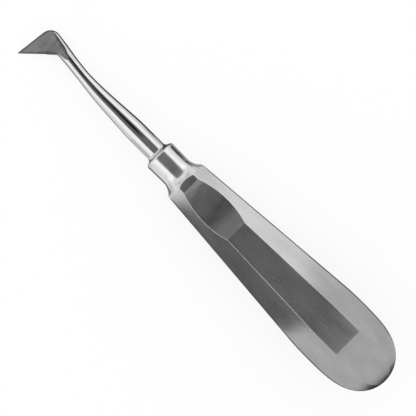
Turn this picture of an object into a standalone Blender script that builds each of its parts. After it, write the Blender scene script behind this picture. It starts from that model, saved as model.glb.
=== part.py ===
"""An angled dental elevator, one piece of stainless steel, lying on a flat of its handle.

Run it with blender --background --python part.py, or from the text editor. Lengths are
in metres. The piece is modelled along its own axis, with x = 0 at the front edge of the
collar, +X towards the butt and +Z out of the flat with the thumb scoop. An empty then
tips that axis, nose down, so that the lower flat of the tapered handle lies level.
"""

import math

import bmesh
import bpy
from mathutils import Matrix, Vector

# Collar and flare
COLLAR_RADIUS = 0.00525
COLLAR_BACK_RADIUS = 0.00515
COLLAR_LENGTH = 0.0072
COLLAR_FRONT_ROUND = 0.0011
COLLAR_FILLET = 0.0015
FLARE_SLOPE = math.radians(46)
FLARE_HOLLOW_RADIUS = 0.0054

# Shank, from the collar to its round end inside the nose
SHANK_ROOT_RADIUS = 0.0033
SHANK_WAIST_RADIUS = 0.00192
SHANK_END_RADIUS = 0.0022
SHANK_TAPER_START = 0.0085
SHANK_TAPER_EASE = 0.2
SHANK_WAIST_START = 0.0325
SHANK_WAIST_LENGTH = 0.0045
SHANK_LENGTH = 0.0460
SHANK_BEND_START = 0.0220
SHANK_BEND_LENGTH = 0.0140
SHANK_BEND_SLOPE = 0.12

# Blade, measured from the middle of its flattened nose
NOSE_AHEAD = 0.0015
NOSE_RADIUS = 0.0035
NOSE_THICKNESS = 0.0040
POINT_AHEAD = 0.0047
POINT_ACROSS = 0.00955
POINT_RADIUS = 0.0001
HEEL_BEHIND = 0.0044
HEEL_ACROSS = 0.00055
HEEL_RADIUS = 0.0003

# Ground face of the blade
FACE_START_BEHIND = 0.0076
FACE_SLOPE_ALONG = 0.155
FACE_SLOPE_ACROSS = 0.167

# Octagonal handle, sizes across flats
HANDLE_FRONT_X = 0.0117
HANDLE_FRONT_WIDTH = 0.0143
HANDLE_TAPER = 0.0815
HANDLE_TAPER_END = 0.068
HANDLE_CROWN_X = 0.0754
HANDLE_LENGTH = 0.0980
EDGE_LAND = 0.0003
BUTT_FULLNESS = 3.4
BUTT_ROUNDNESS = 1.9
BUTT_CREASE_X = 0.0809

# Thumb scoop, a trough ground across the upper flat
SCOOP_START_X = 0.0140
SCOOP_END_X = 0.0335
SCOOP_DEPTH = 0.0016

# Fineness of the round forms
HANDLE_SIDES = 8
TURNED_SIDES = 5 * HANDLE_SIDES
SHANK_STATION_STEP = 0.0024
ARC_STEP = math.radians(18)
BUTT_STATIONS = 14
SCOOP_STEPS = 200
BALL_SEGMENTS = 24
MERGE_DISTANCE = 0.00001

# Room that the cutters have around the piece
ROOM = 0.006

# Steel and its shading
STEEL_COLOUR = (0.62, 0.62, 0.61)
STEEL_ROUGHNESS = 0.28
SHARP_ANGLE = math.radians(25)


def smooth_step(t):
    """Return a soft ramp from 0 to 1 as t runs from 0 to 1."""
    t = min(max(t, 0.0), 1.0)
    return t * t * (3 - 2 * t)


def soft_ramp(t, ease):
    """Return a straight ramp from 0 to 1, eased in over a share of its length."""
    if t <= 0:
        return 0.0
    if t < ease:
        return t * t / (2 * ease) / (1 - ease / 2)
    return min((t - ease / 2) / (1 - ease / 2), 1.0)


def handle_half_width(x):
    """Return the distance from the axis to each flat of the handle at x."""
    taper_end_half = half_width_on_taper(HANDLE_TAPER_END)
    crown_half = taper_end_half + HANDLE_TAPER * (HANDLE_CROWN_X - HANDLE_TAPER_END) / 2
    if x <= HANDLE_TAPER_END:
        return half_width_on_taper(x)
    if x <= HANDLE_CROWN_X:
        t = (x - HANDLE_TAPER_END) / (HANDLE_CROWN_X - HANDLE_TAPER_END)
        return taper_end_half + (crown_half - taper_end_half) * (2 * t - t * t)
    u = min((x - HANDLE_CROWN_X) / (HANDLE_LENGTH - HANDLE_CROWN_X), 1.0)
    return crown_half * (1 - u**BUTT_FULLNESS) ** (1 / BUTT_ROUNDNESS)


def half_width_on_taper(x):
    """Return the half width of the straight taper at x."""
    return HANDLE_FRONT_WIDTH / 2 + HANDLE_TAPER * (x - HANDLE_FRONT_X)


def shank_radius(x):
    """Return the radius of the round shank at x, which is negative there."""
    back = -x
    taper_length = SHANK_WAIST_START - SHANK_TAPER_START
    if back <= SHANK_WAIST_START:
        drop = soft_ramp((back - SHANK_TAPER_START) / taper_length, SHANK_TAPER_EASE)
        return SHANK_ROOT_RADIUS - (SHANK_ROOT_RADIUS - SHANK_WAIST_RADIUS) * drop
    swell_start = SHANK_WAIST_START + SHANK_WAIST_LENGTH
    swell = smooth_step((back - swell_start) / (SHANK_LENGTH - swell_start))
    return SHANK_WAIST_RADIUS + (SHANK_END_RADIUS - SHANK_WAIST_RADIUS) * swell


def bend_offset(x):
    """Return how far the shank's bend moves its centre sideways at x."""
    past = max(-x - SHANK_BEND_START, 0.0)
    if past < SHANK_BEND_LENGTH:
        return SHANK_BEND_SLOPE * past * past / (2 * SHANK_BEND_LENGTH)
    return SHANK_BEND_SLOPE * (past - SHANK_BEND_LENGTH / 2)


def arc(centre_x, centre_r, radius, start, end):
    """Return the points of an arc, in the plane of x and distance from the axis."""
    steps = max(2, math.ceil(abs(end - start) / ARC_STEP))
    angles = [start + (end - start) * i / steps for i in range(steps + 1)]
    return [
        (centre_x + radius * math.cos(a), centre_r + radius * math.sin(a))
        for a in angles
    ]


def shank_end_profile():
    """Return the quarter circle that rounds off the shank inside the nose."""
    return arc(-SHANK_LENGTH, 0.0, SHANK_END_RADIUS, math.pi, math.pi / 2)


def shank_profile():
    """Return the shank's outline from behind its round end to the collar's fillet."""
    start = -SHANK_LENGTH
    end = -COLLAR_FILLET - COLLAR_FRONT_ROUND
    count = math.ceil((end - start) / SHANK_STATION_STEP)
    stations = [start + (end - start) * i / count for i in range(1, count)]
    return [(x, shank_radius(x)) for x in stations]


def collar_profile():
    """Return the collar's outline: fillet, rounded front edge, body and hollow flare."""
    rise = COLLAR_RADIUS - SHANK_ROOT_RADIUS
    lean = math.acos(1 - rise / (COLLAR_FILLET + COLLAR_FRONT_ROUND))
    run = (COLLAR_FILLET + COLLAR_FRONT_ROUND) * math.sin(lean)
    fillet = arc(
        COLLAR_FRONT_ROUND - run,
        SHANK_ROOT_RADIUS + COLLAR_FILLET,
        COLLAR_FILLET,
        -math.pi / 2,
        -math.pi / 2 + lean,
    )
    front_edge = arc(
        COLLAR_FRONT_ROUND,
        COLLAR_RADIUS - COLLAR_FRONT_ROUND,
        COLLAR_FRONT_ROUND,
        math.pi / 2 + lean,
        math.pi / 2,
    )
    flare = arc(
        COLLAR_LENGTH,
        COLLAR_BACK_RADIUS + FLARE_HOLLOW_RADIUS,
        FLARE_HOLLOW_RADIUS,
        -math.pi / 2,
        -math.pi / 2 + FLARE_SLOPE,
    )
    return fillet + front_edge[1:] + flare


def handle_stations():
    """Return the places along the handle where its outline has a point."""
    middle = (HANDLE_TAPER_END + HANDLE_CROWN_X) / 2
    butt_length = HANDLE_LENGTH - HANDLE_CROWN_X
    turns = [math.pi / 2 * i / BUTT_STATIONS for i in range(1, BUTT_STATIONS + 1)]
    butt = [HANDLE_CROWN_X + butt_length * math.sin(a) for a in turns]
    return [HANDLE_TAPER_END, middle, HANDLE_CROWN_X] + butt


def barrel_profile():
    """Return the turned blank behind the flare, which leaves a narrow land on each edge."""
    to_corner = 1 / math.cos(math.pi / HANDLE_SIDES)
    half_land = EDGE_LAND / 2 / (handle_half_width(HANDLE_CROWN_X) * to_corner)
    to_land = 1 / math.cos(math.pi / HANDLE_SIDES - half_land) / math.cos(math.pi / TURNED_SIDES)
    flare_x = COLLAR_LENGTH + FLARE_HOLLOW_RADIUS * math.sin(FLARE_SLOPE)
    flare_r = COLLAR_BACK_RADIUS + FLARE_HOLLOW_RADIUS * (1 - math.cos(FLARE_SLOPE))
    short_by = to_land * half_width_on_taper(flare_x) - flare_r
    meet_x = flare_x + short_by / (math.tan(FLARE_SLOPE) - to_land * HANDLE_TAPER)
    return [(x, handle_half_width(x) * to_land) for x in [meet_x] + handle_stations()]


def room_radius():
    """Return a radius that clears the handle's corners and the blade's point."""
    return 2 * handle_half_width(HANDLE_CROWN_X) + POINT_ACROSS


def room_front():
    """Return a place along the axis that lies ahead of the whole working end."""
    return nose_centre().x - POINT_AHEAD - NOSE_RADIUS - ROOM


def handle_form_profile():
    """Return the outline of the octagonal form, with room in front for the working end."""
    to_corner = 1 / math.cos(math.pi / HANDLE_SIDES)
    front_x = (COLLAR_LENGTH + HANDLE_FRONT_X) / 2
    room = [(room_front(), 0.0), (room_front(), room_radius()), (front_x, room_radius())]
    stations = [front_x] + handle_stations()
    return room + [(x, handle_half_width(x) * to_corner) for x in stations]


def make_collection(name):
    """Add a collection to the scene and return it."""
    collection = bpy.data.collections.new(name)
    bpy.context.scene.collection.children.link(collection)
    return collection


def add_object(name, mesh, collection):
    """Add a mesh to a collection as an object and return it."""
    obj = bpy.data.objects.new(name, mesh)
    collection.objects.link(obj)
    return obj


def turned(name, profile, sides, collection):
    """Turn an outline of (x, radius) points about the X axis with a Screw modifier."""
    mesh = bpy.data.meshes.new(name)
    points = [(x, 0.0, r) for x, r in profile]
    mesh.from_pydata(points, [(i, i + 1) for i in range(len(points) - 1)], [])
    obj = add_object(name, mesh, collection)
    screw = obj.modifiers.new("turn", "SCREW")
    screw.axis = "X"
    screw.steps = sides
    screw.render_steps = sides
    screw.use_merge_vertices = True
    screw.merge_threshold = MERGE_DISTANCE
    screw.use_normal_calculate = True
    screw.use_normal_flip = True
    return obj


def made_mesh(obj):
    """Replace an object by one that holds its evaluated mesh, and return that."""
    depsgraph = bpy.context.evaluated_depsgraph_get()
    mesh = bpy.data.meshes.new_from_object(obj.evaluated_get(depsgraph))
    name = obj.name
    collection = obj.users_collection[0]
    matrix = obj.matrix_world.copy()
    bpy.data.objects.remove(obj)
    made = add_object(name, mesh, collection)
    made.matrix_world = matrix
    mesh.name = name
    return made


def bend_shank(obj):
    """Move the vertices in front of the bend sideways, as a bent rod's lie."""
    for vertex in obj.data.vertices:
        vertex.co.y += bend_offset(vertex.co.x)


def nose_centre():
    """Return the middle of the flattened nose, level with the shank's outer side."""
    x = -SHANK_LENGTH - NOSE_AHEAD
    return Vector((x, bend_offset(x) + SHANK_END_RADIUS - NOSE_RADIUS, 0.0))


def face_height(x, y):
    """Return the height of the ground face's plane at x and y."""
    start_x = nose_centre().x + FACE_START_BEHIND
    start_y = bend_offset(start_x)
    rise = FACE_SLOPE_ALONG * (x - start_x) + FACE_SLOPE_ACROSS * (y - start_y)
    return shank_radius(start_x) + rise


def on_face(x, y):
    """Return the point of the ground face's plane at x and y."""
    return Vector((x, y, face_height(x, y)))


def add_ball(shape, centre, radius, half_thickness):
    """Add a round or flattened ball to a shape."""
    size = Matrix.Diagonal((radius, radius, half_thickness, 1.0))
    bmesh.ops.create_uvsphere(
        shape,
        u_segments=BALL_SEGMENTS,
        v_segments=BALL_SEGMENTS // 2,
        radius=1.0,
        matrix=Matrix.Translation(centre) @ size,
    )


def make_blade(collection):
    """Make the blade's body, the hull of its nose, its point and its heel."""
    nose = nose_centre()
    point = on_face(nose.x - POINT_AHEAD, nose.y - POINT_ACROSS)
    heel = on_face(nose.x + HEEL_BEHIND, nose.y - HEEL_ACROSS)
    shape = bmesh.new()
    add_ball(shape, nose, NOSE_RADIUS, NOSE_THICKNESS / 2)
    add_ball(shape, point, POINT_RADIUS, POINT_RADIUS)
    add_ball(shape, heel, HEEL_RADIUS, HEEL_RADIUS)
    bmesh.ops.delete(shape, geom=shape.edges, context="EDGES_FACES")
    bmesh.ops.convex_hull(shape, input=shape.verts)
    inside = [v for v in shape.verts if not v.link_faces]
    bmesh.ops.delete(shape, geom=inside, context="VERTS")
    return add_object("blade_body", finished_mesh("blade_body", shape), collection)


def finished_mesh(name, shape):
    """Return a mesh with a shape's contents, and free the shape."""
    mesh = bpy.data.meshes.new(name)
    shape.to_mesh(mesh)
    shape.free()
    return mesh


def make_face_cutter(collection):
    """Make the block whose lower side is the plane of the blade's ground face."""
    size = 2 * (POINT_ACROSS + NOSE_RADIUS)
    shape = bmesh.new()
    bmesh.ops.create_cube(shape, size=size, matrix=Matrix.Translation((0.0, 0.0, size / 2)))
    cutter = add_object("face_cutter", finished_mesh("face_cutter", shape), collection)
    nose = nose_centre()
    normal = Vector((-FACE_SLOPE_ALONG, -FACE_SLOPE_ACROSS, 1.0))
    cutter.location = on_face(nose.x, nose.y - POINT_ACROSS / 2)
    cutter.rotation_euler = normal.to_track_quat("Z", "Y").to_euler()
    return cutter


def make_scoop_cutter(collection):
    """Make the grinding wheel's cylinder, lying across the handle."""
    half_chord = (SCOOP_END_X - SCOOP_START_X) / 2 * math.hypot(1, HANDLE_TAPER)
    radius = (half_chord**2 + SCOOP_DEPTH**2) / (2 * SCOOP_DEPTH)
    middle_x = (SCOOP_START_X + SCOOP_END_X) / 2
    normal = Vector((-HANDLE_TAPER, 0.0, 1.0)).normalized()
    middle = Vector((middle_x, 0.0, handle_half_width(middle_x)))
    shape = bmesh.new()
    bmesh.ops.create_cone(
        shape,
        cap_ends=True,
        segments=SCOOP_STEPS,
        radius1=radius,
        radius2=radius,
        depth=2 * room_radius(),
    )
    cutter = add_object("scoop_cutter", finished_mesh("scoop_cutter", shape), collection)
    cutter.location = middle + normal * (radius - SCOOP_DEPTH)
    cutter.rotation_euler = (math.pi / 2, 0.0, 0.0)
    return cutter


def butt_outline():
    """Return the side outline that domes the butt, in the plane of x and z."""
    length = HANDLE_LENGTH + MERGE_DISTANCE - HANDLE_CROWN_X
    u = (BUTT_CREASE_X - HANDLE_CROWN_X) / length
    height = handle_half_width(BUTT_CREASE_X) / math.sqrt(1 - u * u)
    upper = [(room_front(), room_radius()), (HANDLE_CROWN_X, room_radius())]
    for i in range(2 * BUTT_STATIONS):
        angle = math.pi / 2 * i / (2 * BUTT_STATIONS)
        upper.append((HANDLE_CROWN_X + length * math.sin(angle), height * math.cos(angle)))
    tip = [(HANDLE_CROWN_X + length, 0.0)]
    return upper + tip + [(x, -z) for x, z in reversed(upper)]


def make_butt_form(collection):
    """Make the form that domes the butt: its side outline, extruded across the handle."""
    outline = butt_outline()
    curve = bpy.data.curves.new("butt_form", "CURVE")
    curve.dimensions = "2D"
    curve.fill_mode = "BOTH"
    curve.extrude = room_radius()
    spline = curve.splines.new("POLY")
    spline.points.add(len(outline) - 1)
    for point, (x, z) in zip(spline.points, outline):
        point.co = (x, z, 0.0, 1.0)
    spline.use_cyclic_u = True
    obj = add_object("butt_form", curve, collection)
    obj.rotation_euler = (math.pi / 2, 0.0, 0.0)
    bpy.context.view_layer.update()
    made = made_mesh(obj)
    weld(made.data)
    return made


def weld(mesh):
    """Close the loose seams of a mesh."""
    shape = bmesh.new()
    shape.from_mesh(mesh)
    bmesh.ops.remove_doubles(shape, verts=shape.verts, dist=MERGE_DISTANCE)
    bmesh.ops.recalc_face_normals(shape, faces=shape.faces)
    shape.to_mesh(mesh)
    shape.free()


def make_handle_form(collection):
    """Make the octagonal form that the turned blank is cut to."""
    form = turned("handle_form", handle_form_profile(), HANDLE_SIDES, collection)
    form.rotation_euler = (math.pi / HANDLE_SIDES, 0.0, 0.0)
    return form


def add_boolean(obj, name, operation, other):
    """Add a Boolean modifier that takes another object."""
    modifier = obj.modifiers.new(name, "BOOLEAN")
    modifier.operation = operation
    modifier.solver = "EXACT"
    modifier.object = other


def make_material(name, colour, roughness):
    """Make a plain metal."""
    material = bpy.data.materials.new(name)
    material.use_nodes = True
    shader = material.node_tree.nodes["Principled BSDF"]
    shader.inputs["Base Color"].default_value = (*colour, 1.0)
    shader.inputs["Metallic"].default_value = 1.0
    shader.inputs["Roughness"].default_value = roughness
    return material


def make_elevator(parts, cutters):
    """Make the whole instrument: a turned and bent blank, cut to its handle and blade."""
    profile = shank_end_profile() + shank_profile() + collar_profile() + barrel_profile()
    elevator = made_mesh(turned("elevator", profile, TURNED_SIDES, parts))
    bend_shank(elevator)
    add_boolean(elevator, "cut the octagon", "INTERSECT", make_handle_form(cutters))
    add_boolean(elevator, "dome the butt", "INTERSECT", make_butt_form(cutters))
    add_boolean(elevator, "grind the scoop", "DIFFERENCE", make_scoop_cutter(cutters))
    add_boolean(elevator, "join the blade", "UNION", make_blade(cutters))
    add_boolean(elevator, "grind the face", "DIFFERENCE", make_face_cutter(cutters))
    steel = make_material("stainless_steel", STEEL_COLOUR, STEEL_ROUGHNESS)
    elevator.data.materials.append(steel)
    elevator.data.shade_smooth()
    elevator.data.set_sharp_from_angle(angle=SHARP_ANGLE)
    return elevator


def lay_down(objects, collection):
    """Parent the objects to an empty that lays the handle's lower flat level."""
    tip = math.atan(HANDLE_TAPER)
    rest_x = (HANDLE_FRONT_X + HANDLE_TAPER_END) / 2
    rest_point = Vector((rest_x, 0.0, -handle_half_width(rest_x)))
    axis = bpy.data.objects.new("instrument_axis", None)
    collection.objects.link(axis)
    axis.rotation_euler = (0.0, -tip, 0.0)
    axis.location = -(Matrix.Rotation(-tip, 3, "Y") @ rest_point)
    for obj in objects:
        obj.parent = axis


def hide_cutters(cutters):
    """Show the cutters as wire and keep them out of renders."""
    for obj in cutters.objects:
        obj.hide_render = True
        obj.display_type = "WIRE"


def main():
    """Build the instrument in an emptied scene."""
    for obj in list(bpy.data.objects):
        bpy.data.objects.remove(obj, do_unlink=True)
    parts = make_collection("angled_dental_elevator")
    cutters = make_collection("cutters")
    make_elevator(parts, cutters)
    lay_down(list(parts.objects) + list(cutters.objects), parts)
    hide_cutters(cutters)


main()
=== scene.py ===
"""The looks of an angled dental elevator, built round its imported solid.

The instrument is modelled in millimetres along its own axis, as on a lathe and a grinding
wheel, with x = 0 at the front edge of the collar, +X towards the butt and +Z out of the
flat with the thumb scoop. At the end it is scaled to metres and laid on its lower flat.
"""

import math
from collections import namedtuple

import bmesh
import bpy
from mathutils import Matrix, Vector


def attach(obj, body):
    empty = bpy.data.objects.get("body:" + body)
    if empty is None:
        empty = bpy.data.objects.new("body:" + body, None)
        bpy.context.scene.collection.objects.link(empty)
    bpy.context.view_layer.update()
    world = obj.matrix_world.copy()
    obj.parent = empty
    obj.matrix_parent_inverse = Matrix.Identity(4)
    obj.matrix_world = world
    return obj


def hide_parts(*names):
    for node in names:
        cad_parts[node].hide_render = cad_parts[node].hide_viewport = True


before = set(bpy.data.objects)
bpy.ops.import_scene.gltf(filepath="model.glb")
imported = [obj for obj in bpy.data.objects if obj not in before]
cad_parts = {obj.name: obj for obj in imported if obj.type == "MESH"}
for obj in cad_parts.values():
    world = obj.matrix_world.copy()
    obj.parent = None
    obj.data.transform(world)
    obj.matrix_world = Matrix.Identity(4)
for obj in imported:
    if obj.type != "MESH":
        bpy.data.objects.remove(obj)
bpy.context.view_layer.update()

MM = 0.001

# Collar and flare, in millimetres as all sizes of the instrument are
COLLAR_RADIUS = 5.25
COLLAR_BACK_RADIUS = 5.15
COLLAR_LENGTH = 7.2
COLLAR_FRONT_ROUND = 1.1
COLLAR_FILLET = 1.5
FLARE_SLOPE = math.radians(46)
FLARE_HOLLOW_RADIUS = 5.4
FLARE_RIM_ROUND = 0.4

# Shank
SHANK_ROOT_RADIUS = 3.3
SHANK_WAIST_RADIUS = 1.92
SHANK_END_RADIUS = 2.2
SHANK_TAPER_START = 8.5
SHANK_TAPER_EASE = 0.2
SHANK_WAIST_START = 32.5
SHANK_WAIST_LENGTH = 4.5
SHANK_LENGTH = 46.0
SHANK_BEND_START = 22.0
SHANK_BEND_LENGTH = 14.0
SHANK_BEND_SLOPE = 0.12

# Blade: its flattened nose, its point and the inner corner where the cutting edge starts
NOSE_AHEAD = 1.5
NOSE_RADIUS = 3.5
NOSE_THICKNESS = 4.0
POINT_AHEAD = 4.7
POINT_ACROSS = 9.55
POINT_RADIUS = 0.1
HEEL_BEHIND = 3.8
HEEL_ACROSS = 1.42
HEEL_RADIUS = 0.2
NECK_X = -43.3
NECK_FILLET_LENGTH = 1.3
NECK_FILLET_DEPTH = 0.22

# Ground face of the blade
FACE_START_BEHIND = 7.6
FACE_SLOPE_ALONG = 0.155
FACE_SLOPE_ACROSS = 0.167

# Octagonal handle, sizes across flats
HANDLE_SIDES = 8
HANDLE_FRONT_X = 11.7
HANDLE_FRONT_WIDTH = 14.3
HANDLE_TAPER = 0.0815
HANDLE_TAPER_END = 68.0
HANDLE_CROWN_X = 75.4
HANDLE_LENGTH = 98.0
TOP_EDGE_ROUND = 0.08
SIDE_EDGE_ROUND = 0.5
EDGE_STEPS = 3
BUTT_FULLNESS = 3.4
BUTT_ROUNDNESS = 1.9
BUTT_CREASE_X = 80.9

# Thumb scoop
SCOOP_START_X = 14.0
SCOOP_END_X = 33.5
SCOOP_DEPTH = 1.6

# Fineness of the round forms
NECK_STEPS = 3
BALL_FINENESS = 3
TURNED_SIDES = 96
ARC_STEP = math.radians(7.5)
SHANK_STEP = 0.9
CROWN_STEPS = 5
BUTT_STEPS = 22
BUTT_LAST_TURN = math.radians(88.5)
SCOOP_SIDES = 320
BUTT_SIDES = 160

# Small rounds where the flare and the scoop run out into the flats
RIM_ANGLE = math.radians(8)
RIM_STEPS = 3
SCOOP_RIM_ROUND = 0.1

# How the piece's faces and edges are told apart: by distances in millimetres and by leans
NEAR = 0.01
CREASE_NEAR = 0.05
CREASE_STEEPNESS = 2
FLARE_FACE_LEAN = 0.33
SCOOP_SIDE_LEAN = 0.1
DOME_LEAN = 0.02
FACE_MATCH = 0.9999
SHARP_ANGLE = math.radians(28)

# Room that the cutting forms have around the piece, their width and how finely they cut
ROOM = 16.0
FORM_WIDTH = 4 * ROOM
CUT_THRESHOLD = 0.0001

# Tones of the steel
STEEL = (0.63, 0.63, 0.625)
TURNED = (0.69, 0.69, 0.685)
GROUND = (0.42, 0.42, 0.42)

# Finishes of the steel: grain and clouds are sizes in millimetres, depths are of their relief
Finish = namedtuple(
    "Finish", "name tone change roughness roughness_change grain depth clouds cloud_depth turn"
)
FINISHES = [
    Finish("polished_steel", STEEL, 0.02, 0.12, 0.02, (9, 0.25, 0.25), 0.0006, (5, 2, 2), 0, 0),
    Finish("turned_steel", TURNED, 0.04, 0.2, 0.03, (0.15, 5, 5), 0.0008, (6, 3, 3), 0, 0),
    Finish("satin_steel", STEEL, 0.14, 0.28, 0.04, (7, 0.16, 0.16), 0.003, (18, 6, 6), 0, 0),
    Finish("scoop_steel", STEEL, 0.06, 0.24, 0.03, (0.2, 5, 5), 0.0005, (2.2, 4, 4), 0.05, 0),
    Finish("ground_steel", GROUND, 0.16, 0.42, 0.08, (0.3, 6, 6), 0.008, (1.1, 6, 6), 0, -0.14),
]

# How the lines and the clouds of a finish are made and mixed
LINE_SHARE = 0.35
LINE_DETAIL = 2.0
CLOUD_DETAIL = 1.0
NOISE_LOW = 0.3
NOISE_HIGH = 0.7

# Painted shade along the borders of the ground face, standing in for the darker reflections of
# the blade's narrow edge bevels; in millimetres but for the shade
BORDER_REACH = 0.75
BORDER_END = 1.2
BORDER_SHADE = 0.45
BORDER_TOP = 2.4
BORDER_TAIL = 0.35

# Glowing cards that only gloss shows, painted reflections in the steel; the low ones stand in for
# shade on the floor.
# In millimetres in the instrument's axes: name, tone, corner, length and breadth
CARDS = [
    ("overhead_card", 0.13, (-15, -185, 275), (152, 0, 0), (0, 415, 0)),
    ("front_overhead_card", 0.19, (-120, -185, 275), (105, 0, 0), (0, 415, 0)),
    ("rear_overhead_card", 0.22, (-360, -185, 275), (240, 0, 0), (0, 415, 0)),
    ("collar_card", 0.19, (-8, -15, 30), (14.5, 0, 0), (0, 34, 0)),
    ("lens_card", 0.003, (-82, 30, 270), (62, 0, 0), (0, 90, 0)),
    ("lens_hood_card", 0.03, (-82, -20, 270), (72, 0, 0), (0, 50, 0)),
    ("shank_flag", 0.06, (-62, 3, -0.9), (57, 0, -4.67), (0, 14, 0)),
    ("root_flag", 0.14, (-5, 3, -5.57), (4.5, 0, -0.37), (0, 11, 0)),
    ("collar_flag", 0.03, (-0.5, 16, -5.9), (8, 0, -0.65), (0, 116, 0)),
    ("far_collar_card", 0.4, (-0.5, 5.3, -5.9), (8, 0, -0.65), (0, 10.7, 0)),
    ("near_collar_card", 0.15, (-1, -14, -5.8), (8.5, 0, -0.7), (0, 8.7, 0)),
    ("shank_strip", 0.25, (-45, -9, -2.4), (56, 0, -4.5), (0, 12, 0)),
    ("near_flare_card", 0.45, (-10, -45, -5), (9, 0, -0.73), (0, 27, 0)),
    ("far_flare_card", 0.4, (-10, 20, -5), (9, 0, -0.73), (0, 25, 0)),
    ("nose_card", 0.3, (-66, -8, -0.6), (15, 0, -1.2), (0, 11, 0)),
    ("front_card", 0.3, (-75, -60, 4.6), (0, 120, 0), (0, 0, 7)),
    ("handle_tray", 0.08, (11.5, -42, -6.9), (86.5, 0, -7.05), (0, 84, 0)),
    ("dome_tray", 0.02, (98.5, -15, -14), (16, 0, -1.31), (0, 27, 0)),
    ("second_dome_tray", 0.09, (114.5, -17, -15.31), (14, 0, -1.14), (0, 31, 0)),
    ("third_dome_tray", 0.19, (128.5, -19, -16.45), (20, 0, -1.63), (0, 35, 0)),
    ("fourth_dome_tray", 0.31, (148.5, -24, -18.08), (36, 0, -2.94), (0, 44, 0)),
    ("fifth_dome_tray", 0.4, (184.5, -24, -21.02), (115, 0, -9.4), (0, 44, 0)),
    ("near_dome_tray", 0.16, (98.5, -21, -14.02), (30, 0, -2.45), (0, 6, 0)),
    ("outer_dome_tray", 0.33, (98.5, -31, -14.02), (38, 0, -3.1), (0, 10, 0)),
    ("far_dome_tray", 0.25, (98.5, 12, -14.02), (24, 0, -1.96), (0, 5, 0)),
    ("low_end_card", 0.44, (299.5, -26, -30.4), (0, 48, 0), (-18, 0, 31)),
    ("butt_tray", 0.5, (98.5, -150, -14.1), (218.5, 0, -17.8), (0, 300, 0)),
    ("handle_flag", 0.12, (8, -22, -8), (54, 0, 0), (12, -80, 60)),
    ("near_butt_floor", 0.56, (64, -120, -11.2), (260, 0, -21.2), (0, 78, 0)),
    ("far_butt_floor", 0.56, (50, 42, -10.1), (270, 0, -22), (0, 78, 0)),
    ("near_butt_card", 0.56, (64, -120, -13), (260, 0, 0), (0, 30, 260)),
    ("far_butt_card", 0.56, (50, 120, -13), (270, 0, 0), (0, -30, 260)),
    ("end_card", 0.54, (320, -200, -32), (0, 400, 0), (-181, 0, 309)),
]

# Lamps, in metres and watts
LAMP_SIZE = (0.9, 0.5)
LAMP_PLACE = Vector((-0.25, 0.62, 0.5))
LAMP_POWER = 0.5

# Floor, its sizes in metres
FLOOR_SIZE = 8.0
FLOOR_GAP = 0.00005
FLOOR_COLOUR = (0.93, 0.93, 0.93, 1.0)
FLOOR_ROUGHNESS = 0.9
FLOOR_GLOW = 0.85

# Camera: sizes in millimetres, the axis's slant in the frame in degrees, clipping in metres
SENSOR_WIDTH = 36.0
CAMERA_DISTANCE = 900.0
VIEW_WIDTH = 127.0
VIEW_MIDDLE_X = 22.4
VIEW_MIDDLE_Y = -1.0
VIEW_ANGLE = 45.0
CLIP_START = 0.01
CLIP_END = 10.0

Section = namedtuple("Section", "x y half_y half_z")


def smooth_step(t):
    """Return a soft ramp from 0 to 1 as t runs from 0 to 1."""
    t = min(max(t, 0.0), 1.0)
    return t * t * (3 - 2 * t)


def soft_ramp(t, ease):
    """Return a straight ramp from 0 to 1, eased in over a share of its length."""
    if t <= 0:
        return 0.0
    if t < ease:
        return t * t / (2 * ease) / (1 - ease / 2)
    return min((t - ease / 2) / (1 - ease / 2), 1.0)


def spread(start, end, count):
    """Return count + 1 even places from start to end."""
    return [start + (end - start) * i / count for i in range(count + 1)]


def half_width_on_taper(x):
    """Return the half width of the handle's straight taper at x."""
    return HANDLE_FRONT_WIDTH / 2 + HANDLE_TAPER * (x - HANDLE_FRONT_X)


def handle_half_width(x):
    """Return the distance from the axis to each flat of the handle at x."""
    taper_end_half = half_width_on_taper(HANDLE_TAPER_END)
    crown_half = taper_end_half + HANDLE_TAPER * (HANDLE_CROWN_X - HANDLE_TAPER_END) / 2
    if x <= HANDLE_TAPER_END:
        return half_width_on_taper(x)
    if x <= HANDLE_CROWN_X:
        t = (x - HANDLE_TAPER_END) / (HANDLE_CROWN_X - HANDLE_TAPER_END)
        return taper_end_half + (crown_half - taper_end_half) * (2 * t - t * t)
    u = min((x - HANDLE_CROWN_X) / (HANDLE_LENGTH - HANDLE_CROWN_X), 1.0)
    return crown_half * (1 - u**BUTT_FULLNESS) ** (1 / BUTT_ROUNDNESS)


def shank_radius(x):
    """Return the radius of the round shank at x, which is negative there."""
    back = -x
    taper_length = SHANK_WAIST_START - SHANK_TAPER_START
    if back <= SHANK_WAIST_START:
        drop = soft_ramp((back - SHANK_TAPER_START) / taper_length, SHANK_TAPER_EASE)
        return SHANK_ROOT_RADIUS - (SHANK_ROOT_RADIUS - SHANK_WAIST_RADIUS) * drop
    swell_start = SHANK_WAIST_START + SHANK_WAIST_LENGTH
    swell = smooth_step((back - swell_start) / (SHANK_LENGTH - swell_start))
    return SHANK_WAIST_RADIUS + (SHANK_END_RADIUS - SHANK_WAIST_RADIUS) * swell


def bend_offset(x):
    """Return how far the shank's bend moves its centre sideways at x."""
    past = max(-x - SHANK_BEND_START, 0.0)
    if past < SHANK_BEND_LENGTH:
        return SHANK_BEND_SLOPE * past * past / (2 * SHANK_BEND_LENGTH)
    return SHANK_BEND_SLOPE * (past - SHANK_BEND_LENGTH / 2)


def nose_centre():
    """Return the middle of the flattened nose, level with the shank's outer side."""
    x = -SHANK_LENGTH - NOSE_AHEAD
    return Vector((x, bend_offset(x) + SHANK_END_RADIUS - NOSE_RADIUS, 0.0))


def on_face(x, y):
    """Return the point of the ground face's plane at x and y."""
    start_x = nose_centre().x + FACE_START_BEHIND
    rise = FACE_SLOPE_ALONG * (x - start_x) + FACE_SLOPE_ACROSS * (y - bend_offset(start_x))
    return Vector((x, y, shank_radius(start_x) + rise))


def face_normal():
    """Return the direction in which the ground face looks."""
    return Vector((-FACE_SLOPE_ALONG, -FACE_SLOPE_ACROSS, 1.0)).normalized()


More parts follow.
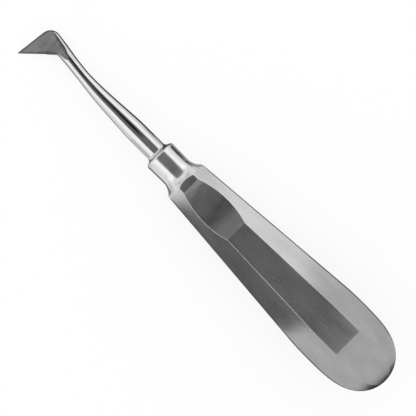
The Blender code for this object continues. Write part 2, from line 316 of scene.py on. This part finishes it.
def round_section(x, radius):
    """Return a round section of the bent blank."""
    return Section(x, bend_offset(x), radius, radius)


def arc_sections(centre_x, centre_r, radius, start, end):
    """Return round sections along an arc of the blank's outline."""
    steps = max(2, math.ceil(abs(end - start) / ARC_STEP))
    return [
        round_section(centre_x + radius * math.cos(a), centre_r + radius * math.sin(a))
        for a in spread(start, end, steps)
    ]


def nose_sections():
    """Return the sections of the front half of the flattened nose, from its tip."""
    nose = nose_centre()
    steps = math.ceil(math.pi / 2 / ARC_STEP)
    angles = spread(0.0, math.pi / 2, steps)[1:]
    return [
        Section(
            nose.x - NOSE_RADIUS * math.cos(a),
            nose.y,
            NOSE_RADIUS * math.sin(a),
            NOSE_THICKNESS / 2 * math.sin(a),
        )
        for a in angles
    ]


def neck_section(x):
    """Return a section of the shank, which widens inwards just behind the blade."""
    widening = max((NECK_X + NECK_FILLET_LENGTH - x) / NECK_FILLET_LENGTH, 0.0)
    extra = NECK_FILLET_DEPTH * widening**2 / 2
    radius = shank_radius(x)
    return Section(x, bend_offset(x) - extra, radius + extra, radius)


def shank_sections():
    """Return the sections of the shank from the blade's neck to the collar's fillet."""
    fillet_start = -COLLAR_FILLET - COLLAR_FRONT_ROUND
    count = math.ceil((fillet_start - NECK_X) / SHANK_STEP)
    near_neck = [
        neck_section(x) for x in spread(NECK_X, NECK_X + SHANK_STEP, NECK_STEPS)[:-1]
    ]
    return near_neck + [neck_section(x) for x in spread(NECK_X, fillet_start, count)[1:-1]]


def collar_sections():
    """Return the sections of the fillet, rounded front edge, collar and hollow flare."""
    rise = COLLAR_RADIUS - SHANK_ROOT_RADIUS
    lean = math.acos(1 - rise / (COLLAR_FILLET + COLLAR_FRONT_ROUND))
    run = (COLLAR_FILLET + COLLAR_FRONT_ROUND) * math.sin(lean)
    fillet = arc_sections(
        COLLAR_FRONT_ROUND - run,
        SHANK_ROOT_RADIUS + COLLAR_FILLET,
        COLLAR_FILLET,
        -math.pi / 2,
        -math.pi / 2 + lean,
    )
    front_edge = arc_sections(
        COLLAR_FRONT_ROUND,
        COLLAR_RADIUS - COLLAR_FRONT_ROUND,
        COLLAR_FRONT_ROUND,
        math.pi / 2 + lean,
        math.pi / 2,
    )
    flare = arc_sections(
        COLLAR_LENGTH,
        COLLAR_BACK_RADIUS + FLARE_HOLLOW_RADIUS,
        FLARE_HOLLOW_RADIUS,
        -math.pi / 2,
        -math.pi / 2 + FLARE_SLOPE,
    )
    return fillet + front_edge[1:] + flare


def room_sections(last):
    """Return the sections that carry the flare on past the handle's corners."""
    cone_end = last.x + (ROOM - last.half_y) / math.tan(FLARE_SLOPE)
    return [round_section(cone_end, ROOM), round_section(HANDLE_LENGTH + ROOM, ROOM)]


def handle_sections():
    """Return the sections of the octagon, with room in front for the working end."""
    front_x = (COLLAR_LENGTH + HANDLE_FRONT_X) / 2
    room_x = nose_centre().x - POINT_AHEAD - ROOM
    to_corner = 1 / math.cos(math.pi / HANDLE_SIDES)
    butt_length = HANDLE_LENGTH - HANDLE_CROWN_X
    turns = spread(0.0, BUTT_LAST_TURN, BUTT_STEPS)[1:]
    stations = [front_x]
    stations += spread(HANDLE_TAPER_END, HANDLE_CROWN_X, CROWN_STEPS)
    stations += [HANDLE_CROWN_X + butt_length * math.sin(a) for a in turns]
    room = [Section(room_x, 0.0, 2 * ROOM, 2 * ROOM), Section(front_x, 0.0, 2 * ROOM, 2 * ROOM)]
    radii = [(x, handle_half_width(x) * to_corner) for x in stations]
    return room + [Section(x, 0.0, r, r) for x, r in radii]


def choose(kind, wanted):
    """Select, in edit mode, just the faces, edges or vertices that are wanted."""
    bpy.ops.mesh.select_mode(type={"faces": "FACE", "edges": "EDGE", "verts": "VERT"}[kind])
    bpy.ops.mesh.select_all(action="DESELECT")
    shape = bmesh.from_edit_mesh(bpy.context.object.data)
    for element in getattr(shape, kind):
        if wanted(element):
            element.select_set(True)
    shape.select_flush_mode()
    bmesh.update_edit_mesh(bpy.context.object.data)


def start_ring(name, first, sides, turn=0.0):
    """Add a filled ring across the axis, and leave it selected in edit mode."""
    bpy.ops.object.select_all(action="DESELECT")
    bpy.ops.mesh.primitive_circle_add(
        vertices=sides,
        radius=1.0,
        fill_type="NGON",
        location=(first.x, first.y, 0.0),
        rotation=(0.0, math.pi / 2, 0.0),
    )
    ring = bpy.context.object
    ring.name = name
    bpy.ops.object.transform_apply(location=True, rotation=True, scale=True)
    bpy.ops.object.mode_set(mode="EDIT")
    bpy.ops.mesh.select_all(action="SELECT")
    centre = (first.x, first.y, 0.0)
    bpy.ops.transform.rotate(value=turn, orient_axis="X", center_override=centre)
    bpy.ops.transform.resize(value=(1.0, first.half_y, first.half_z), center_override=centre)
    return ring


def draw_out(sections):
    """Extrude the selected ring from each section to the next."""
    for before, after in zip(sections, sections[1:]):
        move = (after.x - before.x, after.y - before.y, 0.0)
        bpy.ops.mesh.extrude_region_move(TRANSFORM_OT_translate={"value": move})
        bpy.ops.transform.resize(
            value=(1.0, after.half_y / before.half_y, after.half_z / before.half_z),
            center_override=(after.x, after.y, 0.0),
        )


def close_shape():
    """Point all faces outwards and leave edit mode."""
    bpy.ops.mesh.select_all(action="SELECT")
    bpy.ops.mesh.normals_make_consistent(inside=False)
    bpy.ops.mesh.select_all(action="DESELECT")
    bpy.ops.object.mode_set(mode="OBJECT")


def forge_blade():
    """Wrap the nose, the point and the heel into the blade, still joined to the shank."""
    nose = nose_centre()
    spots = [
        (on_face(nose.x - POINT_AHEAD, nose.y - POINT_ACROSS), POINT_RADIUS),
        (on_face(nose.x + HEEL_BEHIND, nose.y - HEEL_ACROSS), HEEL_RADIUS),
    ]
    ahead = NECK_X + NEAR
    choose("faces", lambda f: all(v.co.x < ahead for v in f.verts))
    bpy.ops.mesh.delete(type="ONLY_FACE")
    for spot, radius in spots:
        bpy.ops.mesh.primitive_ico_sphere_add(
            subdivisions=BALL_FINENESS, radius=radius, location=spot
        )
    choose("verts", lambda v: v.co.x < ahead)
    bpy.ops.mesh.convex_hull(delete_unused=True, use_existing_faces=False, join_triangles=False)
    choose("faces", lambda f: all(abs(v.co.x - NECK_X) < NEAR for v in f.verts))
    bpy.ops.mesh.delete(type="ONLY_FACE")
    choose("edges", lambda e: not e.link_faces)
    bpy.ops.mesh.delete(type="EDGE")


def turn_blank():
    """Turn the shank, collar and flare as one bent blank, with its forged blade."""
    sections = nose_sections() + shank_sections() + collar_sections()
    sections += room_sections(sections[-1])
    blank = start_ring("elevator_body", sections[0], TURNED_SIDES)
    draw_out(sections)
    forge_blade()
    close_shape()
    return blank


def round_corners(wanted, width):
    """Round, in edit mode, the corners of a ring that are wanted."""
    choose("verts", wanted)
    bpy.ops.mesh.bevel(affect="VERTICES", offset=width, segments=EDGE_STEPS)


def mill_handle_form():
    """Make the octagonal form of the handle, its side edges rounder than the upper ones."""
    sections = handle_sections()
    form = start_ring("handle_form", sections[0], HANDLE_SIDES, math.pi / HANDLE_SIDES)
    scale = sections[0].half_y / sections[2].half_y
    round_corners(lambda v: abs(v.co.y) > abs(v.co.z), SIDE_EDGE_ROUND * scale)
    round_corners(lambda v: abs(v.co.y) < abs(v.co.z), TOP_EDGE_ROUND * scale)
    choose("faces", lambda f: True)
    draw_out(sections)
    close_shape()
    return form


def make_butt_form():
    """Make the form that domes the butt: an elliptic barrel lying across the handle."""
    length = HANDLE_LENGTH - HANDLE_CROWN_X
    u = (BUTT_CREASE_X - HANDLE_CROWN_X) / length
    height = handle_half_width(BUTT_CREASE_X) / math.sqrt(1 - u * u)
    bpy.ops.object.select_all(action="DESELECT")
    bpy.ops.mesh.primitive_cylinder_add(
        vertices=BUTT_SIDES,
        radius=1.0,
        depth=FORM_WIDTH,
        location=(HANDLE_CROWN_X, 0.0, 0.0),
        rotation=(math.pi / 2, 0.0, 0.0),
    )
    form = bpy.context.object
    form.name = "butt_form"
    bpy.ops.object.transform_apply(location=True, rotation=True, scale=True)
    bpy.ops.object.mode_set(mode="EDIT")
    bpy.ops.mesh.select_all(action="SELECT")
    centre = (HANDLE_CROWN_X, 0.0, 0.0)
    bpy.ops.transform.resize(value=(length, 1.0, height), center_override=centre)
    choose("verts", lambda v: v.co.x < HANDLE_CROWN_X - NEAR)
    reach = HANDLE_LENGTH - nose_centre().x + ROOM
    bpy.ops.transform.translate(value=(-reach, 0.0, 0.0))
    close_shape()
    return form


def scoop_wheel_size():
    """Return the centre and the radius of the wheel that grinds the thumb scoop."""
    half_chord = (SCOOP_END_X - SCOOP_START_X) / 2 * math.hypot(1, HANDLE_TAPER)
    radius = (half_chord**2 + SCOOP_DEPTH**2) / (2 * SCOOP_DEPTH)
    middle_x = (SCOOP_START_X + SCOOP_END_X) / 2
    normal = Vector((-HANDLE_TAPER, 0.0, 1.0)).normalized()
    bottom = Vector((middle_x, 0.0, handle_half_width(middle_x))) - normal * SCOOP_DEPTH
    return bottom + normal * radius, radius


def make_scoop_wheel():
    """Make the grinding wheel, lying across the handle."""
    centre, radius = scoop_wheel_size()
    bpy.ops.object.select_all(action="DESELECT")
    bpy.ops.mesh.primitive_cylinder_add(
        vertices=SCOOP_SIDES,
        radius=radius,
        depth=FORM_WIDTH,
        location=centre,
        rotation=(math.pi / 2, 0.0, 0.0),
    )
    wheel = bpy.context.object
    wheel.name = "scoop_wheel"
    return wheel


def in_scoop(face):
    """Say whether a face lies on the wheel's round side."""
    centre, radius = scoop_wheel_size()
    middle = face.calc_center_median()
    reach = math.hypot(middle.x - centre.x, middle.z - centre.z)
    return abs(reach - radius) < NEAR and abs(face.normal.y) < SCOOP_SIDE_LEAN


def on_ground_face(face):
    """Say whether a face is the blade's ground face."""
    before_collar = face.calc_center_median().x < -SHANK_END_RADIUS
    return before_collar and face.normal.dot(face_normal()) > FACE_MATCH


def on_turned_part(face):
    """Say whether a face belongs to the collar or the flare."""
    return face.calc_center_median().x > 0 and not on_handle(face)


def on_handle(face):
    """Say whether a face belongs to the flats or the butt, and not to the turned front."""
    behind_flare = face.calc_center_median().x > (COLLAR_LENGTH + HANDLE_FRONT_X) / 2
    return behind_flare and face.normal.x > -FLARE_FACE_LEAN


def is_flare_rim(edge):
    """Say whether an edge lies where the flare runs out into the handle's flats."""
    if len(edge.link_faces) != 2 or edge.calc_face_angle() < RIM_ANGLE:
        return False
    if not COLLAR_LENGTH < edge.verts[0].co.x < SCOOP_START_X:
        return False
    return on_handle(edge.link_faces[0]) != on_handle(edge.link_faces[1])


def is_scoop_rim(edge):
    """Say whether an edge lies where the scoop runs out into the handle's flats."""
    if len(edge.link_faces) != 2 or edge.calc_face_angle() < RIM_ANGLE:
        return False
    return in_scoop(edge.link_faces[0]) != in_scoop(edge.link_faces[1])


def is_butt_crease(edge):
    """Say whether an edge is a straight line where an upper or lower flat ends at the butt."""
    ends = [v.co for v in edge.verts]
    at_crease = all(abs(co.x - BUTT_CREASE_X) < CREASE_NEAR for co in ends)
    return at_crease and all(abs(co.z) > abs(co.y) * CREASE_STEEPNESS for co in ends)


def is_dome_edge(edge):
    """Say whether an edge borders the domed upper or lower side of the butt."""
    if len(edge.link_faces) != 2 or min(v.co.x for v in edge.verts) < BUTT_CREASE_X:
        return False
    first, second = (abs(face.normal.y) < DOME_LEAN for face in edge.link_faces)
    return first != second


def round_edges(wanted, width, steps):
    """Bevel, in edit mode, the edges that are wanted."""
    choose("edges", wanted)
    bpy.ops.mesh.bevel(offset=width, segments=steps, clamp_overlap=False)


def cut(piece, operation, form):
    """Apply a Boolean with a form to the piece, and remove the form."""
    bpy.ops.object.select_all(action="DESELECT")
    bpy.context.view_layer.objects.active = piece
    piece.select_set(True)
    modifier = piece.modifiers.new("cut", "BOOLEAN")
    modifier.operation = operation
    modifier.solver = "EXACT"
    modifier.object = form
    bpy.ops.object.modifier_apply(modifier=modifier.name)
    bpy.data.objects.remove(form)


def grind_face():
    """Cut the blade flat, in edit mode, at its ground face."""
    nose = nose_centre()
    bpy.ops.mesh.select_all(action="SELECT")
    bpy.ops.mesh.bisect(
        plane_co=on_face(nose.x, nose.y),
        plane_no=face_normal(),
        use_fill=True,
        clear_outer=True,
        threshold=CUT_THRESHOLD,
    )


def placement():
    """Return the matrix from the instrument's axis, in millimetres, to where it lies."""
    rest_x = (HANDLE_FRONT_X + HANDLE_TAPER_END) / 2
    rest_point = Vector((rest_x, 0.0, -handle_half_width(rest_x)))
    tip = Matrix.Rotation(-math.atan(HANDLE_TAPER), 4, "Y")
    return Matrix.Scale(MM, 4) @ tip @ Matrix.Translation(-rest_point)


def make_elevator():
    """Make the whole instrument as one closed piece."""
    elevator = turn_blank()
    cut(elevator, "INTERSECT", mill_handle_form())
    bpy.ops.object.mode_set(mode="EDIT")
    round_edges(is_flare_rim, FLARE_RIM_ROUND, RIM_STEPS)
    close_shape()
    cut(elevator, "INTERSECT", make_butt_form())
    cut(elevator, "DIFFERENCE", make_scoop_wheel())
    bpy.ops.object.mode_set(mode="EDIT")
    round_edges(is_scoop_rim, SCOOP_RIM_ROUND, RIM_STEPS)
    grind_face()
    close_shape()
    return elevator


def finish_shape(elevator):
    """Give the piece its smooth and sharp shading, and lay it on its lower flat."""
    bpy.ops.object.shade_smooth_by_angle(angle=SHARP_ANGLE)
    bpy.ops.object.mode_set(mode="EDIT")
    choose("edges", lambda e: is_butt_crease(e) or is_dome_edge(e))
    bpy.ops.mesh.mark_sharp()
    bpy.ops.mesh.select_all(action="DESELECT")
    bpy.ops.object.mode_set(mode="OBJECT")
    modifier = elevator.modifiers.new("even shading", "WEIGHTED_NORMAL")
    modifier.keep_sharp = True
    bpy.ops.object.modifier_apply(modifier=modifier.name)
    elevator.matrix_world = placement()
    bpy.ops.object.transform_apply(location=True, rotation=True, scale=True)


def add_node(tree, kind, **settings):
    """Add a shader node with its settings and return it."""
    node = tree.nodes.new(kind)
    for name, value in settings.items():
        setattr(node, name, value)
    return node


def grain(tree, size, turn, detail):
    """Return the output of a noise whose spots have the given size in millimetres."""
    place = add_node(tree, "ShaderNodeTexCoord")
    mapping = add_node(tree, "ShaderNodeMapping", vector_type="TEXTURE")
    mapping.inputs["Rotation"].default_value = (0.0, -math.atan(HANDLE_TAPER), turn)
    mapping.inputs["Scale"].default_value = [length * MM for length in size]
    noise = add_node(tree, "ShaderNodeTexNoise")
    noise.inputs["Scale"].default_value = 1.0
    noise.inputs["Detail"].default_value = detail
    tree.links.new(place.outputs["Object"], mapping.inputs["Vector"])
    tree.links.new(mapping.outputs["Vector"], noise.inputs["Vector"])
    return noise.outputs["Fac"]


def ranged(tree, value, low, high, from_low=NOISE_LOW, from_high=NOISE_HIGH):
    """Return a value spread from its range, by default a noise's, to low and high."""
    node = add_node(tree, "ShaderNodeMapRange")
    node.inputs["From Min"].default_value = from_low
    node.inputs["From Max"].default_value = from_high
    node.inputs["To Min"].default_value = low
    node.inputs["To Max"].default_value = high
    tree.links.new(value, node.inputs["Value"])
    return node.outputs["Result"]


def add_relief(tree, height, depth, normal=None):
    """Return a normal that is bent by a relief of the given depth in millimetres."""
    bump = add_node(tree, "ShaderNodeBump")
    bump.inputs["Distance"].default_value = depth * MM
    tree.links.new(height, bump.inputs["Height"])
    if normal:
        tree.links.new(normal, bump.inputs["Normal"])
    return bump.outputs["Normal"]


def steel(finish):
    """Make a steel with fine lines of one size and soft clouds of another."""
    material = bpy.data.materials.new(finish.name)
    material.use_nodes = True
    tree = material.node_tree
    shader = tree.nodes["Principled BSDF"]
    shader.inputs["Metallic"].default_value = 1.0
    lines = grain(tree, finish.grain, finish.turn, LINE_DETAIL)
    clouds = grain(tree, finish.clouds, finish.turn, CLOUD_DETAIL)
    line_share = ranged(tree, lines, 0.0, LINE_SHARE)
    both = combined(tree, "ADD", line_share, ranged(tree, clouds, 0.0, 1 - LINE_SHARE))
    colour = add_node(tree, "ShaderNodeMix", data_type="RGBA")
    colour.inputs["A"].default_value = [c * (1 - finish.change) for c in finish.tone] + [1.0]
    colour.inputs["B"].default_value = [c * (1 + finish.change) for c in finish.tone] + [1.0]
    tree.links.new(both, colour.inputs["Factor"])
    tree.links.new(colour.outputs["Result"], shader.inputs["Base Color"])
    low = finish.roughness - finish.roughness_change
    high = finish.roughness + finish.roughness_change
    blur = ranged(tree, both, low, high, 0.0, 1.0)
    tree.links.new(blur, shader.inputs["Roughness"])
    normal = add_relief(tree, lines, finish.depth)
    if finish.cloud_depth:
        normal = add_relief(tree, clouds, finish.cloud_depth, normal)
    tree.links.new(normal, shader.inputs["Normal"])
    return material


def fading(tree, start, direction, length):
    """Return a value that falls from 1 at a point to 0 at a length from it in a direction."""
    place = add_node(tree, "ShaderNodeTexCoord")
    offset = add_node(tree, "ShaderNodeVectorMath", operation="SUBTRACT")
    reach = add_node(tree, "ShaderNodeVectorMath", operation="DOT_PRODUCT")
    offset.inputs[1].default_value = placement() @ start
    reach.inputs[1].default_value = (placement().to_3x3() @ direction).normalized()
    tree.links.new(place.outputs["Object"], offset.inputs[0])
    tree.links.new(offset.outputs["Vector"], reach.inputs[0])
    return ranged(tree, reach.outputs["Value"], 1.0, 0.0, 0.0, length * MM)


def combined(tree, operation, first, second):
    """Return two values combined by a sum, a product or the like."""
    node = add_node(tree, "ShaderNodeMath", operation=operation)
    tree.links.new(first, node.inputs[0])
    tree.links.new(second, node.inputs[1])
    return node.outputs["Value"]


def near_line(tree, start, end):
    """Return a value that is 1 on a border of the ground face and 0 inside it or past its end."""
    inward = face_normal().cross(end - start)
    beside = fading(tree, start, inward, BORDER_REACH)
    before = fading(tree, end, end - start, BORDER_END)
    return combined(tree, "MULTIPLY", beside, before)


def paint_border_shade(material):
    """Paint shade on the ground face towards its cutting edge, its front edge and its upper
    border, standing in for the darker reflections of its narrow edge bevels.
    """
    tree = material.node_tree
    nose = nose_centre()
    neck_x = nose.x + FACE_START_BEHIND
    point = on_face(nose.x - POINT_AHEAD, nose.y - POINT_ACROSS)
    heel = on_face(nose.x + HEEL_BEHIND, nose.y - HEEL_ACROSS)
    neck = on_face(neck_x, bend_offset(neck_x) + BORDER_TAIL)
    top = on_face(nose.x, nose.y + BORDER_TOP)
    front = on_face(nose.x - NOSE_RADIUS, nose.y)
    nearest = near_line(tree, point, heel)
    for start, end in ((neck, top), (front, point)):
        nearest = combined(tree, "MAXIMUM", nearest, near_line(tree, start, end))
    # Painted shade: the base colour is darkened near the borders
    shade = add_node(tree, "ShaderNodeMix", data_type="RGBA", blend_type="MULTIPLY")
    shade.inputs["B"].default_value = (BORDER_SHADE, BORDER_SHADE, BORDER_SHADE, 1.0)
    colour = tree.nodes["Principled BSDF"].inputs["Base Color"]
    tree.links.new(colour.links[0].from_socket, shade.inputs["A"])
    tree.links.new(nearest, shade.inputs["Factor"])
    tree.links.new(shade.outputs["Result"], colour)


def paint(elevator):
    """Give each zone of the piece its finish."""
    for finish in FINISHES:
        elevator.data.materials.append(steel(finish))
    # Painted shade along the ground face's borders
    paint_border_shade(elevator.data.materials[-1])
    bpy.ops.object.mode_set(mode="EDIT")
    zones = (on_turned_part, on_handle, in_scoop, on_ground_face)
    for index, wanted in enumerate(zones):
        choose("faces", wanted)
        elevator.active_material_index = index + 1
        bpy.ops.object.material_slot_assign()
    bpy.ops.mesh.select_all(action="DESELECT")
    bpy.ops.object.mode_set(mode="OBJECT")


def shade_of(name, level):
    """Make a plain material that has one level of light."""
    material = bpy.data.materials.new(name)
    material.use_nodes = True
    tree = material.node_tree
    tree.nodes.clear()
    glow = add_node(tree, "ShaderNodeEmission")
    glow.inputs["Color"].default_value = (level, level, level, 1.0)
    output = add_node(tree, "ShaderNodeOutputMaterial")
    tree.links.new(glow.outputs["Emission"], output.inputs["Surface"])
    return material


def add_card(name, material, corner, along, side):
    """Add a flat glowing card, in millimetres in the instrument's axes, that only gloss shows, to
    paint a reflection.
    """
    bpy.ops.object.select_all(action="DESELECT")
    bpy.ops.mesh.primitive_plane_add(size=1.0, location=(0.0, 0.0, 0.0))
    card = bpy.context.object
    card.name = name
    corners = [corner, corner + along, corner + along + side, corner + side]
    for vertex, place in zip((0, 1, 3, 2), corners):
        card.data.vertices[vertex].co = placement() @ place
    card.data.materials.append(material)
    card.visible_camera = False
    card.visible_diffuse = False
    card.visible_shadow = False
    return card


def make_floor():
    """Lay the pale floor, which the steel and the camera see as bright as the backdrop."""
    bpy.ops.object.select_all(action="DESELECT")
    bpy.ops.mesh.primitive_plane_add(size=FLOOR_SIZE, location=(0.0, 0.0, -FLOOR_GAP))
    floor = bpy.context.object
    floor.name = "floor"
    material = bpy.data.materials.new("pale_floor")
    material.use_nodes = True
    tree = material.node_tree
    shader = tree.nodes["Principled BSDF"]
    shader.inputs["Base Color"].default_value = FLOOR_COLOUR
    shader.inputs["Roughness"].default_value = FLOOR_ROUGHNESS
    shader.inputs["Specular IOR Level"].default_value = 0.0
    glow = add_node(tree, "ShaderNodeEmission")
    path = add_node(tree, "ShaderNodeLightPath")
    seen = path.outputs["Is Camera Ray"]
    for ray in ("Is Glossy Ray", "Is Transmission Ray"):
        seen = combined(tree, "MAXIMUM", seen, path.outputs[ray])
    share = add_node(tree, "ShaderNodeMath", operation="MULTIPLY")
    share.inputs[1].default_value = FLOOR_GLOW
    mix = add_node(tree, "ShaderNodeMixShader")
    tree.links.new(seen, share.inputs[0])
    tree.links.new(share.outputs["Value"], mix.inputs["Fac"])
    tree.links.new(shader.outputs["BSDF"], mix.inputs[1])
    tree.links.new(glow.outputs["Emission"], mix.inputs[2])
    tree.links.new(mix.outputs["Shader"], tree.nodes["Material Output"].inputs["Surface"])
    floor.data.materials.append(material)


def make_cards():
    """Hang and stand the glowing grey cards that only the polished steel mirrors: painted
    reflections, the low ones standing in for shade on the floor.
    """
    for name, tone, corner, along, side in CARDS:
        add_card(name, shade_of(name, tone), Vector(corner), Vector(along), Vector(side))


def make_lamps():
    """Set a broad soft lamp on each side of the instrument."""
    for name, side in (("near_lamp", -1), ("far_lamp", 1)):
        lamp_data = bpy.data.lights.new(name, "AREA")
        lamp_data.shape = "RECTANGLE"
        lamp_data.size, lamp_data.size_y = LAMP_SIZE
        lamp_data.energy = LAMP_POWER
        lamp = bpy.data.objects.new(name, lamp_data)
        bpy.context.scene.collection.objects.link(lamp)
        lamp.location = LAMP_PLACE * Vector((1, side, 1))
        lamp.rotation_euler = (-lamp.location).to_track_quat("-Z", "X").to_euler()


def make_world():
    """Surround the scene with plain white light."""
    world = bpy.data.worlds.new("white_studio")
    world.use_nodes = True
    world.node_tree.nodes["Background"].inputs["Color"].default_value = (1.0, 1.0, 1.0, 1.0)
    bpy.context.scene.world = world


def make_camera():
    """Set the camera straight over the instrument, which lies on the frame's diagonal."""
    camera_data = bpy.data.cameras.new("camera")
    camera_data.sensor_width = SENSOR_WIDTH
    camera_data.lens = SENSOR_WIDTH * CAMERA_DISTANCE / VIEW_WIDTH
    camera = bpy.data.objects.new("camera", camera_data)
    bpy.context.scene.collection.objects.link(camera)
    middle = Vector((VIEW_MIDDLE_X, VIEW_MIDDLE_Y, 0.0))
    along = Vector((1.0, 0.0, 0.0))
    across = Vector((0.0, 1.0, 0.0))
    slant = math.radians(VIEW_ANGLE)
    right = along * math.cos(slant) + across * math.sin(slant)
    up = across * math.cos(slant) - along * math.sin(slant)
    away = Vector((0.0, 0.0, 1.0))
    axes = Matrix((right, up, away)).transposed()
    lie = placement().to_3x3().normalized()
    camera.matrix_world = Matrix.Translation(
        placement() @ (middle + away * CAMERA_DISTANCE)
    ) @ (lie @ axes).to_4x4()
    camera_data.clip_start = CLIP_START
    camera_data.clip_end = CLIP_END
    bpy.context.scene.camera = camera
    bpy.context.scene.view_settings.view_transform = "Standard"


elevator = make_elevator()
paint(elevator)
finish_shape(elevator)
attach(elevator, "root")
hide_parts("elevator")

make_floor()
# Painted reflections and painted floor shade, seen only in the steel's gloss
make_cards()
make_lamps()
make_world()
make_camera()
